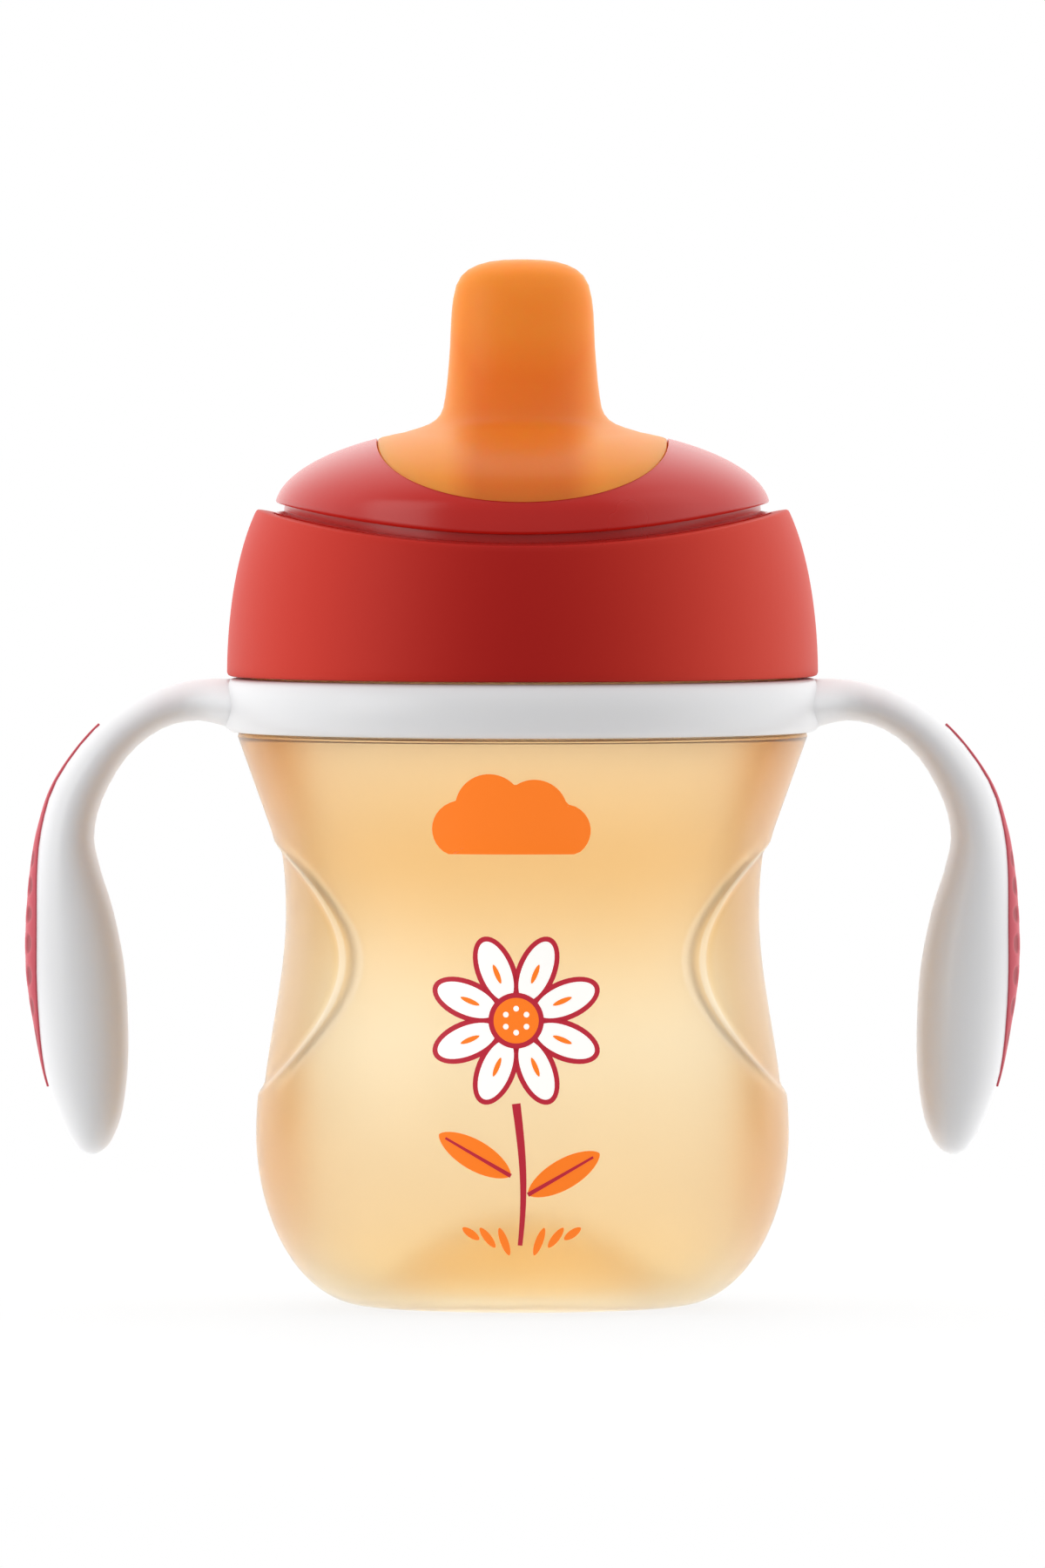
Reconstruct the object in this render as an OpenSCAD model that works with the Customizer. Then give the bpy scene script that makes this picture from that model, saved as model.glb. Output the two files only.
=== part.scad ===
// Two-handled training cup with a screw lid, a soft spout and a non-spill valve.
// Millimetres, +Z up, origin in the middle of the flat foot, front towards -Y.

/* [Cup] */
// Height of the shoulder that carries the handle ring
shoulder_z = 73; // [60:1:90]
// Largest radius, low on the cup
bulge_r = 34; // [32:0.5:42]
// Height of the largest radius
bulge_z = 22; // [18:1:27]
// Radius where the foot's rounded corner meets the flat foot
foot_r = 20; // [18:0.5:24]
// Radius of the waist
waist_r = 30.9; // [28:0.1:33]
// How far the waist lies below the shoulder
waist_drop = 23; // [19:0.5:26]
// Outer radius of the threaded neck
neck_r = 33; // [31:0.5:40]
// Height of the neck above the shoulder
neck_h = 19.9; // [19.5:0.1:26]
// Width of the ledge round the neck
ledge_w = 3.5; // [2.5:0.1:4.5]
// Thickness of the wall
wall = 1.8; // [1.2:0.1:2.4]
// Height of the pushed-up floor
push_up = 9.5; // [4:0.5:12]
// Radius of the recess under the floor
recess_r = 17; // [13:0.5:17.5]

/* [Side panels] */
// Depth of the panels below the wall
panel_depth = 0.7; // [0.4:0.1:1]
// Half the height of a panel
panel_half_h = 16.4; // [10:0.1:18]
// Half the width of a panel
panel_half_w = 22; // [12:0.5:24]
// How far a panel's middle lies below the waist
panel_drop = 7; // [2:0.5:9]

/* [Thread] */
// Rise in one turn
pitch = 6; // [5.5:0.5:7]
// Height of a ridge above its wall
ridge_h = 1.15; // [0.8:0.05:1.4]
// Half the thickness of a ridge at its crest
crest_half = 0.9; // [0.6:0.1:1]
// Length of the cup's ridge in degrees
cup_ridge_arc = 400; // [300:10:420]
// Length of the lid's ridge in degrees
lid_ridge_arc = 360; // [240:10:360]

/* [Handles] */
// Height of the handle ring
ring_h = 6.8; // [5:0.1:9]
// Width of the ring's rounded section
ring_w = 4; // [3:0.1:6]
// Half the depth of an arm at its arch
arch_depth = 5.6; // [4:0.1:7]
// Half the depth of an arm at its grip
grip_depth = 7.4; // [5:0.1:9]
// Greatest thickness of a grip pad
pad_t = 0.8; // [0.4:0.1:1.2]
// Half the width of a grip pad, as an angle round the arm
pad_angle = 30; // [18:1:50]

/* [Lid] */
// Height of the lid collar at its sides
collar_h = 21.2; // [20.5:0.1:26]
// How much lower the collar's front and back are than its sides
collar_dip = 4.1; // [1:0.1:5]
// Thickness of the collar's wall at its foot
collar_wall = 3.1; // [2.2:0.1:4]
// Height of the dome above its straight wall
dome_rise = 11.1; // [8:0.1:15]
// Thickness of the dome's shell
dome_t = 1.8; // [1.2:0.1:2.4]
// Depth of the groove round the dome
groove_depth = 0.8; // [0.3:0.1:1]

/* [Spout] */
// Half the width of the spout opening in the dome
opening_half_w = 18.5; // [15:0.5:22]
// Half the width of the spout's tube
tube_half_w = 9.2; // [8:0.1:12]
// Half the depth of the spout's tube
tube_half_d = 6.6; // [6:0.1:9]
// Height of the spout above the dome's crown
spout_rise = 20.7; // [16:0.1:30]
// Thickness of the soft spout's wall
spout_t = 1.2; // [0.9:0.1:1.6]
// Height of the stiff core above the dome's crown
core_rise = 10.4; // [6:0.1:13]
// Radius of the drinking passage in the core
passage_r = 2.2; // [1.2:0.1:2.4]

/* [Valve] */
// Radius of the drinking socket under the lid
socket_r = 6.6; // [5:0.1:8]
// Radius of the air socket under the lid
vent_r = 3.6; // [2.6:0.1:4.4]
// Distance between the two sockets
socket_gap = 17; // [15.5:0.5:19]
// Depth of both sockets
socket_h = 8; // [6:0.5:9]

/* [Hidden] */
$fn = 96;

// Clearances: between pieces that slide or turn, between pieces that rest on each other,
// and between pieces held fast together
run_gap = 0.3;
rest_gap = 0.1;
held_gap = 0.05;
big = 200;

// Cup heights and radii
waist_z = shoulder_z - waist_drop;
panel_z = waist_z - panel_drop;
shoulder_r = neck_r + ledge_w;
rim_z = shoulder_z + neck_h;
neck_in = neck_r - wall;

// Handle ring and the spigot that centres it
spigot_r = neck_r + 1.3;
ring_bore = spigot_r + run_gap;
ring_r = ring_bore + ring_w;
ring_z = shoulder_z + rest_gap;
ring_top = ring_z + ring_h;
key_w = 3;
key_h = 4;
key_out = 1;

// Collar, seal and dome
collar_z = ring_top + run_gap;
collar_bore = neck_r + ridge_h + 0.45;
collar_r = collar_bore + collar_wall;
collar_top = collar_z + collar_h;
seal_z = rim_z + rest_gap;
seal_t = 1.5;
flange_z = seal_z + seal_t + rest_gap;
flange_t = 1.8;
flange_r = collar_bore - 0.4;
dome_r = neck_r - 1.4;
spring_z = flange_z + 6.9;
crown_z = spring_z + dome_rise;
// Collar's top edge: an arc across the cup, lowest at the front and back
arc_half = collar_r - 4.2;
arc_r = (arc_half * arc_half + collar_dip * collar_dip) / (2 * collar_dip);
arc_low = collar_top - collar_dip;
groove_low = 0.3;
groove_w = 1.1;

// Spout opening in the dome: a half ellipse seen from the front
opening_z = crown_z - 2.2;
opening_h = opening_z - spring_z - 1.3;

// Carrier plate of the core, under the soft flange
cap_t = 1.5;
plate_r = dome_r - dome_t - 0.4;
plate_t = 1.6;
cap_rim_z = spring_z - 1.9;
plate_top = cap_rim_z - rest_gap;
plate_z = plate_top - plate_t;
socket_wall = 2.2;
socket_z = plate_z - socket_h;
core_w = tube_half_w - spout_t;
core_d = tube_half_d - spout_t;
core_top = crown_z + core_rise;
spout_top = crown_z + spout_rise;

// A ring of points for a lofted oval, and the loft through [half width, half depth, height] rows
LOFT_SIDES = 32;
function oval(w, d, z) =
    [for (i = [0:LOFT_SIDES - 1]) [w * cos(i * 360 / LOFT_SIDES), d * sin(i * 360 / LOFT_SIDES), z]];

// Faces of a closed skin over rings of n points: side quads as triangles, and two end fans
function skin_faces(rings, n) = concat(
    [for (k = [0:rings - 2], i = [0:n - 1])
        [k * n + i, k * n + (i + 1) % n, (k + 1) * n + i]],
    [for (k = [0:rings - 2], i = [0:n - 1])
        [k * n + (i + 1) % n, (k + 1) * n + (i + 1) % n, (k + 1) * n + i]],
    [for (i = [1:n - 2]) [0, i + 1, i]],
    [for (i = [1:n - 2]) [(rings - 1) * n, (rings - 1) * n + i, (rings - 1) * n + i + 1]]);

module skin(rings) {
    n = len(rings[0]);
    polyhedron(points = [for (r = rings) each r],
        faces = [for (f = skin_faces(len(rings), n)) [f[0], f[2], f[1]]], convexity = 6);
}

module loft(rows) {
    skin([for (r = rows) oval(r[0], r[1], r[2])]);
}

// ---- Cup ----

function bezier3(a, b, c, d, t) =
    a * pow(1 - t, 3) + 3 * b * t * pow(1 - t, 2) + 3 * c * t * t * (1 - t) + d * pow(t, 3);
function bezier2(a, b, c, t) = a * pow(1 - t, 2) + 2 * b * t * (1 - t) + c * t * t;

// Outline of the wall from the foot, over the bulge and the waist, to the straight flare below
// the shoulder, moved in by inset
function wall_line(inset) =
    let (r0 = waist_r - inset,
        slope = (shoulder_r - waist_r) / (shoulder_z - waist_z - 7.3),
        turn_z = waist_z + 7.3,
        out_z = turn_z + 3.7,
        third = (waist_z - bulge_z) / 3)
    concat(
        [for (i = [0:9]) let (a = 9 * i - 90)
            [foot_r + (bulge_r - foot_r - inset) * cos(a), bulge_z + (bulge_z - inset) * sin(a)]],
        [for (i = [0:9]) bezier3([bulge_r - inset, bulge_z], [bulge_r - inset, bulge_z + third],
            [r0, waist_z - third], [r0, waist_z], i / 9)],
        [for (i = [1:5]) bezier2([r0, waist_z], [r0, turn_z],
            [r0 + slope * (out_z - turn_z), out_z], i / 5)]);

module wall_core(inset) {
    line = wall_line(inset);
    rotate_extrude()
        polygon(concat([[0, line[0][1]]], line, [[0, line[len(line) - 1][1]]]));
}

// What a side panel takes away from a solid whose wall is moved in by inset
module panel_cuts(inset) {
    difference() {
        for (side = [0, 180])
            rotate([0, 0, side])
                translate([big / 20, 0, panel_z])
                    rotate([90, 0, 90])
                        linear_extrude(big / 4)
                            polygon([for (i = [0:47])
                                [panel_half_w * cos(7.5 * i), panel_half_h * sin(7.5 * i)]]);
        wall_core(inset + panel_depth);
    }
}

// Arc of the pushed-up floor, from its edge at height z to the axis
floor_r = (recess_r * recess_r + push_up * push_up) / (2 * push_up);
floor_c = push_up - floor_r;
function floor_arc(radius, z) =
    let (a0 = asin((z - floor_c) / radius))
    [for (i = [0:10]) let (a = a0 + (90 - a0) * i / 10) [radius * cos(a), floor_c + radius * sin(a)]];

// One thread ridge: a helix whose section runs from root_r to tip_r, faded out at both ends
module ridge(root_r, tip_r, z, start, arc) {
    step = 7.5;
    steps = round(arc / step);
    fade = 4;
    skin([for (i = [0:steps])
        let (a = start + arc * i / steps,
            h = z + pitch * a / 360,
            f = min(1, (i + 0.2) / fade, (steps - i + 0.2) / fade),
            tip = root_r + (tip_r - root_r) * f,
            root = root_r - sign(tip_r - root_r) * 0.5,
            foot_half = crest_half + ridge_h / 2,
            side = sign(tip_r - root_r),
            u = [cos(a), sin(a)])
        [[root * u[0], root * u[1], h + side * foot_half],
            [tip * u[0], tip * u[1], h + side * crest_half],
            [tip * u[0], tip * u[1], h - side * crest_half],
            [root * u[0], root * u[1], h - side * foot_half]]]);
}

// Height of the cup's thread at zero degrees
thread_z = shoulder_z + 9.7;
// The lid's ridge lies this far below the cup's
thread_drop = 2 * crest_half + ridge_h / 2 + 0.2;
// The lid's ridge starts here, clear of the collar's foot
lid_ridge_start = 130;

module cup_outside() {
    rotate_extrude()
        polygon(concat(
            [for (p = floor_arc(floor_r, 0)) [p[0], p[1]]],
            [[0, rim_z], [neck_r, rim_z], [neck_r, ring_top], [spigot_r, ring_top],
                [spigot_r, shoulder_z], [shoulder_r, shoulder_z]],
            [for (i = [len(wall_line(0)) - 1:-1:0]) wall_line(0)[i]]));
}

module cup_inside() {
    line = wall_line(wall);
    rotate_extrude()
        polygon(concat(
            line,
            [[shoulder_r - 1.4 * wall, shoulder_z - 1.2 * wall], [neck_in, shoulder_z - 0.2 * wall],
                [neck_in, rim_z + 1], [0, rim_z + 1]],
            [for (i = [10:-1:0]) floor_arc(floor_r + wall, wall)[i]]));
}

module cup_body() {
    color([0.96, 0.78, 0.58]) {
        difference() {
            cup_outside();
            panel_cuts(0);
            difference() {
                cup_inside();
                panel_cuts(wall);
            }
        }
        ridge(neck_r, neck_r + ridge_h, thread_z, 0, cup_ridge_arc);
        for (side = [0, 180])
            rotate([0, 0, side])
                translate([-key_w / 2, spigot_r - 1, shoulder_z - 0.5])
                    cube([key_w, 1 + key_out, key_h + 0.5]);
    }
}

// ---- Handles ----

// Stations along an arm: outwards from the ring's edge, height from the ring's middle,
// half the thickness and half the depth there
stations = [
    [-2.4, 0.1, 3.2, arch_depth + 2.5],
    [3, 0.6, 2.6, arch_depth],
    [8.6, -0.9, 2.45, arch_depth],
    [13.95, -4.9, 2.7, arch_depth + 0.1],
    [18, -11, 3.15, arch_depth + 0.4],
    [19.5, -16.5, 3.45, arch_depth + 0.8],
    [19.45, -21.5, 4.25, arch_depth + 1.2],
    [18.8, -27, 5.25, grip_depth - 0.3],
    [18.15, -33.5, 5.9, grip_depth],
    [17.55, -40, 5.8, grip_depth],
    [17.05, -46.5, 5.3, grip_depth - 0.5],
    [16.55, -51.5, 4.2, grip_depth - 1.5],
    [16.4, -54.8, 2.95, grip_depth - 3.1],
    [16.4, -56.6, 1.7, grip_depth - 5],
    [16.4, -57.3, 0.5, grip_depth - 6.9]];
STATION_STEPS = 2;
ARM_SIDES = 24;
ring_mid = ring_z + ring_h / 2;

function pick(v, i) = v[max(0, min(len(v) - 1, i))];
function spline(v, k, t) =
    let (a = pick(v, k - 1), b = pick(v, k), c = pick(v, k + 1), d = pick(v, k + 2))
    0.5 * (2 * b + (c - a) * t + (2 * a - 5 * b + 4 * c - d) * t * t
        + (3 * b - a - 3 * c + d) * pow(t, 3));
// An arm's station at s, a whole number at each row of the list
function arm_at(s) = spline(stations, min(floor(s), len(stations) - 2),
    s - min(floor(s), len(stations) - 2));
// Direction across the arm, outwards, in the plane of the two arms
function across(s) =
    let (a = arm_at(max(0, s - 0.05)), b = arm_at(min(len(stations) - 1, s + 0.05)),
        d = [b[0] - a[0], b[1] - a[1]])
    [-d[1], d[0]] / norm(d);
// A point on the arm's skin at station s and angle a, raised by lift
function arm_point(s, a, lift) =
    let (p = arm_at(s), n = across(s))
    [ring_r + p[0] + n[0] * (p[2] + lift) * cos(a), (p[3] + lift) * sin(a),
        ring_mid + p[1] + n[1] * (p[2] + lift) * cos(a)];

module arm() {
    last = (len(stations) - 1) * STATION_STEPS;
    skin([for (k = [0:last])
        [for (i = [0:ARM_SIDES - 1]) arm_point(k / STATION_STEPS, -360 * i / ARM_SIDES, 0)]]);
}

module handle_ring() {
    color("whitesmoke") {
        difference() {
            union() {
                rotate_extrude()
                    polygon(concat(
                        [[ring_bore, ring_top], [ring_bore, ring_z]],
                        [for (i = [0:12]) let (a = 15 * i - 90)
                            [ring_r - 1.8 + 1.8 * cos(a), ring_mid + ring_h / 2 * sin(a)]]));
                for (side = [0, 180])
                    rotate([0, 0, side])
                        arm();
            }
            for (side = [0, 180])
                rotate([0, 0, side])
                    translate([-key_w / 2 - run_gap, spigot_r - 1, ring_z - 1])
                        cube([key_w + 2 * run_gap, 1 + key_out + run_gap, key_h + 1 + run_gap]);
            translate([0, 0, ring_z - 1])
                cylinder(r = ring_bore, h = ring_h + 2);
        }
    }
}

// A soft pad on the arm's outer face: a long leaf, a thin line at the top and broadest below
// its middle
pad_start = 2.9;
pad_end = 10.3;
PAD_RINGS = 18;
PAD_POINTS = 8;
module grip_pad() {
    skin([for (k = [0:PAD_RINGS])
        let (u = k / PAD_RINGS,
            s = pad_start + (pad_end - pad_start) * u,
            leaf = pow(abs(sin(180 * pow(u, 1.3))), 1.5),
            w = 4 + (pad_angle - 4) * leaf,
            t = 0.22 + (pad_t - 0.22) * leaf)
        concat(
            [for (i = [PAD_POINTS:-1:0]) let (b = 2 * i / PAD_POINTS - 1)
                arm_point(s, w * b, held_gap + 0.15 + (t - 0.15) * (1 - pow(b, 4)))],
            [for (i = [0:PAD_POINTS]) let (b = 2 * i / PAD_POINTS - 1)
                arm_point(s, w * b, held_gap)])]);
}

module grip_pad_right() {
    color("crimson")
        grip_pad();
}

module grip_pad_left() {
    color("crimson")
        rotate([0, 0, 180])
            grip_pad();
}

// ---- Lid ----

// Everything above the collar's arc, raised by lift
module above_arc(lift) {
    translate([0, big / 2, arc_low + arc_r + lift])
        rotate([90, 0, 0])
            cylinder(r = arc_r, h = big, $fn = 256);
}

module lid_collar() {
    lip_z = flange_z + flange_t + held_gap;
    shell_h = 26 * collar_h / 21.2;
    color([0.82, 0.2, 0.17]) {
        difference() {
            rotate_extrude()
                polygon(concat(
                    [[dome_r + held_gap, collar_top + 1], [dome_r + held_gap, lip_z],
                        [collar_bore, lip_z], [collar_bore, collar_z]],
                    [for (i = [0:11]) let (h = (collar_h + 1) * i / 11)
                        [collar_r - 9 + 9 * sqrt(1 - pow(h / shell_h, 2)), collar_z + h]]));
            above_arc(0);
        }
        ridge(collar_bore, collar_bore - ridge_h, thread_z - thread_drop, lid_ridge_start,
            lid_ridge_arc);
    }
}

// Outline of the dome from its crown down to its spring line, moved in by inset
function dome_arc(inset) = [for (i = [0:14]) let (a = 90 - 90 * i / 14)
    [(dome_r - inset) * cos(a), spring_z + (dome_rise - inset) * sin(a)]];

// The opening for the spout, through the dome from front to back, smaller by gap
module opening(gap) {
    w = opening_half_w - gap;
    h = opening_h - gap;
    translate([0, big / 2, 0])
        rotate([90, 0, 0])
            linear_extrude(big)
                polygon(concat(
                    [for (i = [0:24]) let (a = 180 + 7.5 * i) [w * cos(a), opening_z + h * sin(a)]],
                    [[w, crown_z + 5], [-w, crown_z + 5]]));
}

module lid_dome() {
    inner = dome_arc(dome_t);
    color([0.78, 0.12, 0.1])
        difference() {
            rotate_extrude()
                polygon(concat(
                    dome_arc(0),
                    [[dome_r, flange_z + flange_t], [flange_r, flange_z + flange_t],
                        [flange_r, flange_z], [dome_r - dome_t, flange_z]],
                    [for (i = [14:-1:0]) inner[i]]));
            opening(0);
            intersection() {
                difference() {
                    above_arc(groove_low);
                    above_arc(groove_low + groove_w);
                }
                difference() {
                    cylinder(r = dome_r + 2, h = big);
                    translate([0, 0, -1])
                        cylinder(r = dome_r - groove_depth, h = big + 2);
                }
            }
        }
}

module lid_seal() {
    color("gainsboro")
        rotate_extrude()
            translate([neck_in - 0.8, seal_z])
                square([flange_r - neck_in + 0.8, seal_t]);
}

// ---- Spout, core and valve ----

// The core's outside above its plate, larger by gap, as rows for loft
function core_rows(gap) = [
    [core_w + 0.6 + gap, core_d + 0.4 + gap, plate_top - 0.5],
    [core_w + 0.3 + gap, core_d + 0.2 + gap, crown_z + 1.5],
    [core_w - 0.3 + gap, core_d - 0.5 + gap, core_top - 3.5],
    [core_w - 1.4 + gap, core_d - 1.4 + gap, core_top - 0.8],
    [core_w - 2.6 + gap, core_d - 2.4 + gap, core_top + gap]];

module spout() {
    cap = dome_t + held_gap;
    outer = dome_arc(cap);
    inner = dome_arc(cap + cap_t);
    color([0.93, 0.5, 0.16])
        difference() {
            union() {
                rotate_extrude()
                    polygon(concat(
                        outer,
                        [[dome_r - cap, cap_rim_z], [dome_r - cap - cap_t, cap_rim_z]],
                        [for (i = [14:-1:0]) inner[i]]));
                intersection() {
                    rotate_extrude()
                        polygon(concat(
                            dome_arc(0),
                            [for (i = [14:-1:0]) dome_arc(cap + cap_t / 2)[i]]));
                    opening(held_gap);
                }
                loft([
                    [tube_half_w + 4.9, tube_half_d + 11, crown_z - 2.1],
                    [tube_half_w + 3.9, tube_half_d + 7.2, crown_z - 0.9],
                    [tube_half_w + 2, tube_half_d + 4.9, crown_z + 0.1],
                    [tube_half_w + 0.9, tube_half_d + 3.4, crown_z + 1.6],
                    [tube_half_w + 0.55, tube_half_d + 2.4, crown_z + 3.2],
                    [tube_half_w + 0.3, tube_half_d + 1.5, crown_z + 5],
                    [tube_half_w + 0.15, tube_half_d + 0.7, crown_z + 7.2],
                    [tube_half_w, tube_half_d, crown_z + 9.5],
                    [tube_half_w - 0.2, tube_half_d - 0.2, spout_top - 6.6],
                    [tube_half_w - 0.8, tube_half_d - 0.7, spout_top - 3.3],
                    [tube_half_w - 2.1, tube_half_d - 1.8, spout_top - 1.5],
                    [tube_half_w - 4.2, tube_half_d - 3.4, spout_top - 0.4],
                    [tube_half_w - 6.8, tube_half_d - 5.2, spout_top]]);
            }
            loft(core_rows(held_gap));
            loft([
                [core_w - 1.6, core_d - 1.5, core_top - 1],
                [core_w - 1.2, core_d - 1.2, core_top + 3],
                [core_w - 1.4, core_d - 1.4, spout_top - 4],
                [core_w - 3.2, core_d - 2.8, spout_top - 2]]);
            for (x = [-1.8, 0, 1.8])
                translate([x, 0, spout_top - 4])
                    cylinder(r = 0.45, h = 6, $fn = 24);
            translate([0, socket_gap, spring_z])
                cylinder(r = 0.6, h = dome_rise + 1, $fn = 24);
        }
}

module spout_core() {
    color("linen")
        difference() {
            union() {
                translate([0, 0, plate_z])
                    cylinder(r = plate_r, h = plate_t);
                loft(core_rows(0));
                translate([0, 0, socket_z])
                    cylinder(r = socket_r + socket_wall, h = socket_h + 0.5);
                translate([0, socket_gap, socket_z])
                    cylinder(r = vent_r + 1.6, h = socket_h + 0.5);
            }
            translate([0, 0, socket_z - 1])
                cylinder(r = socket_r, h = socket_h + 1);
            translate([0, 0, plate_z - 1])
                cylinder(r = passage_r, h = big);
            translate([0, socket_gap, socket_z - 1])
                cylinder(r = vent_r, h = socket_h + 1);
            translate([0, socket_gap, plate_z - 1])
                cylinder(r = 1, h = plate_t + 2, $fn = 32);
        }
}

valve_flange = 1.6;
valve_skin = 1.3;
plug_h = socket_h - 1.2;
valve_z = socket_z - rest_gap - valve_flange;

// One cup-shaped plug of the valve, with crossed slits through its floor
module plug(radius, flange) {
    difference() {
        union() {
            translate([0, 0, valve_z])
                cylinder(r = flange, h = valve_flange);
            translate([0, 0, valve_z])
                cylinder(r = radius, h = valve_flange + plug_h);
        }
        translate([0, 0, valve_z + 0.9])
            cylinder(r = radius - valve_skin, h = valve_flange + plug_h);
        for (turn = [0, 90])
            rotate([0, 0, turn])
                translate([-radius / 2, -0.12, valve_z - 1])
                    cube([radius, 0.24, 3]);
    }
}

module valve() {
    color("lightyellow") {
        plug(socket_r - run_gap, socket_r + socket_wall - 0.2);
        translate([0, socket_gap, 0])
            plug(vent_r - run_gap, vent_r + 1.4);
        translate([-3, socket_r - run_gap, valve_z])
            cube([6, socket_gap - socket_r - vent_r + 2 * run_gap, valve_flange]);
    }
}

cup_body();
handle_ring();
grip_pad_left();
grip_pad_right();
lid_collar();
lid_dome();
spout();
spout_core();
valve();
lid_seal();
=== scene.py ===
import math
import bmesh
import bpy
from mathutils import Matrix, Vector


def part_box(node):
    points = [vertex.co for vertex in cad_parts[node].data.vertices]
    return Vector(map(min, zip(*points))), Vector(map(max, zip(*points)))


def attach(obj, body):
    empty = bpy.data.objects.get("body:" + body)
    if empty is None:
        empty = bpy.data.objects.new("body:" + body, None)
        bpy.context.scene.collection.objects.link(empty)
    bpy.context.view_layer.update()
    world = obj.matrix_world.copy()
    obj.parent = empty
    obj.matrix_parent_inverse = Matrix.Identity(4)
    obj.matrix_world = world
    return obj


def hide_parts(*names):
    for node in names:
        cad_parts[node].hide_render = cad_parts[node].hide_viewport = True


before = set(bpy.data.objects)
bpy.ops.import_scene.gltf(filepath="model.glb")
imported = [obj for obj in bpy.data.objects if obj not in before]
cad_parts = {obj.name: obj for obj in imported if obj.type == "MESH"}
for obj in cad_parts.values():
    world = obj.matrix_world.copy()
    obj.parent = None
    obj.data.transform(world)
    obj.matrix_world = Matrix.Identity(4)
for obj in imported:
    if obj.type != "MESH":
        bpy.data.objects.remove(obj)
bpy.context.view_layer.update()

# ---------------------------------------------------------------- The table and the light
# The cup stands alone on a pale tabletop. A soft box on each side, a little in front of it,
# gives the plastic its sheen, and a weaker one fills in from the front and above.
table = bpy.data.meshes.new("tabletop")
table_mesh = bmesh.new()
bmesh.ops.create_grid(table_mesh, x_segments=1, y_segments=1, size=6.0)
table_mesh.to_mesh(table)
table_mesh.free()
tabletop = bpy.data.objects.new("tabletop", table)
bpy.context.scene.collection.objects.link(tabletop)
under_foot = 0.0002
table.transform(Matrix.Translation((0, 0, -under_foot)))


def feed(tree, node, given):
    """Sets a node's inputs, by name or by number, each from a value or from a socket."""
    for key, value in given.items():
        if isinstance(value, bpy.types.NodeSocket):
            tree.links.new(value, node.inputs[key])
        else:
            node.inputs[key].default_value = value


def computed(tree, operation, *values, vector=False):
    """Socket of a maths node, given its values or sockets in order."""
    node = tree.nodes.new("ShaderNodeVectorMath" if vector else "ShaderNodeMath")
    node.operation = operation
    feed(tree, node, dict(enumerate(values)))
    return node.outputs["Vector" if vector and operation != "LENGTH" else "Value"]


def eased(tree, socket, low, high, first=0.0, last=1.0):
    """A socket's value, eased from first to last as it goes from low to high."""
    span = tree.nodes.new("ShaderNodeMapRange")
    span.interpolation_type = "SMOOTHSTEP"
    feed(tree, span, {"Value": socket, "From Min": low, "From Max": high, "To Min": first, "To Max": last})
    return span.outputs[0]


# The tabletop is thin white paper on a lit sweep: it lets light up through it, and it thins
# out to nothing 0.4 m away.
tabletop_paint = bpy.data.materials.new("tabletop_paint")
tabletop_paint.use_nodes = True
paint_tree = tabletop_paint.node_tree
table_place = paint_tree.nodes.new("ShaderNodeTexCoord").outputs["Object"]
table_reach = computed(paint_tree, "LENGTH", table_place, vector=True)
fade_from, gone_at, paper_alpha = 0.06, 0.40, 0.14
feed(paint_tree, paint_tree.nodes["Principled BSDF"], {"Base Color": (0.93, 0.93, 0.93, 1), "Roughness": 0.6,
    "Alpha": eased(paint_tree, table_reach, fade_from, gone_at, paper_alpha, 0.0)})
table.materials.append(tabletop_paint)

# The room is white beside and behind the cup and dimmer in front of it. Seen straight, the
# backdrop is plain white; seen through the plastic, it is bright on every side.
room = bpy.data.worlds.new("room")
room.use_nodes = True
room_tree = room.node_tree
room_nodes, room_link = room_tree.nodes, room_tree.links.new
room_light = room_nodes["Background"]
room_place = room_nodes.new("ShaderNodeTexCoord")
room_axes = room_nodes.new("ShaderNodeSeparateXYZ")
room_link(room_place.outputs["Generated"], room_axes.inputs[0])
front_dir, back_dir = -0.75, 0.35
front_strength, back_strength, seen_through = 0.5, 1.45, 1.25
dimmer_in_front = eased(room_tree, room_axes.outputs["Y"], front_dir, back_dir, front_strength, back_strength)
seen = room_nodes.new("ShaderNodeLightPath")
through = computed(room_tree, "MULTIPLY", seen.outputs["Is Transmission Ray"], seen_through)
room_link(computed(room_tree, "MAXIMUM", dimmer_in_front, through), room_light.inputs["Strength"])
backdrop = room_nodes.new("ShaderNodeBackground")
backdrop.inputs["Strength"].default_value = 1.0
room_mix = room_nodes.new("ShaderNodeMixShader")
room_link(seen.outputs["Is Camera Ray"], room_mix.inputs["Fac"])
room_link(room_light.outputs[0], room_mix.inputs[1])
room_link(backdrop.outputs[0], room_mix.inputs[2])
room_link(room_mix.outputs[0], room_nodes["World Output"].inputs["Surface"])
for light in (room_light, backdrop):
    light.inputs["Color"].default_value = (1, 1, 1, 1)
bpy.context.scene.world = room
bpy.context.scene.view_settings.view_transform = "Standard"

lit_point = Vector((0, 0, 0.07))


def soft_box(name, place, width, height, power):
    """A rectangular lamp that stands at a place and shines on the cup."""
    lamp = bpy.data.lights.new(name, "AREA")
    lamp.shape = "RECTANGLE"
    lamp.size = width
    lamp.size_y = height
    lamp.energy = power
    stand = bpy.data.objects.new(name, lamp)
    bpy.context.scene.collection.objects.link(stand)
    stand.location = place
    stand.rotation_euler = (lit_point - Vector(place)).to_track_quat("-Z", "Y").to_euler()


soft_box("left_box", (-0.58, -0.34, 0.24), width=0.42, height=0.5, power=1.1)
soft_box("right_box", (0.65, -0.20, 0.30), width=0.6, height=0.9, power=0.7)
soft_box("front_box", (0.0, -0.9, 1.1), width=1.0, height=0.6, power=0.8)

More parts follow.
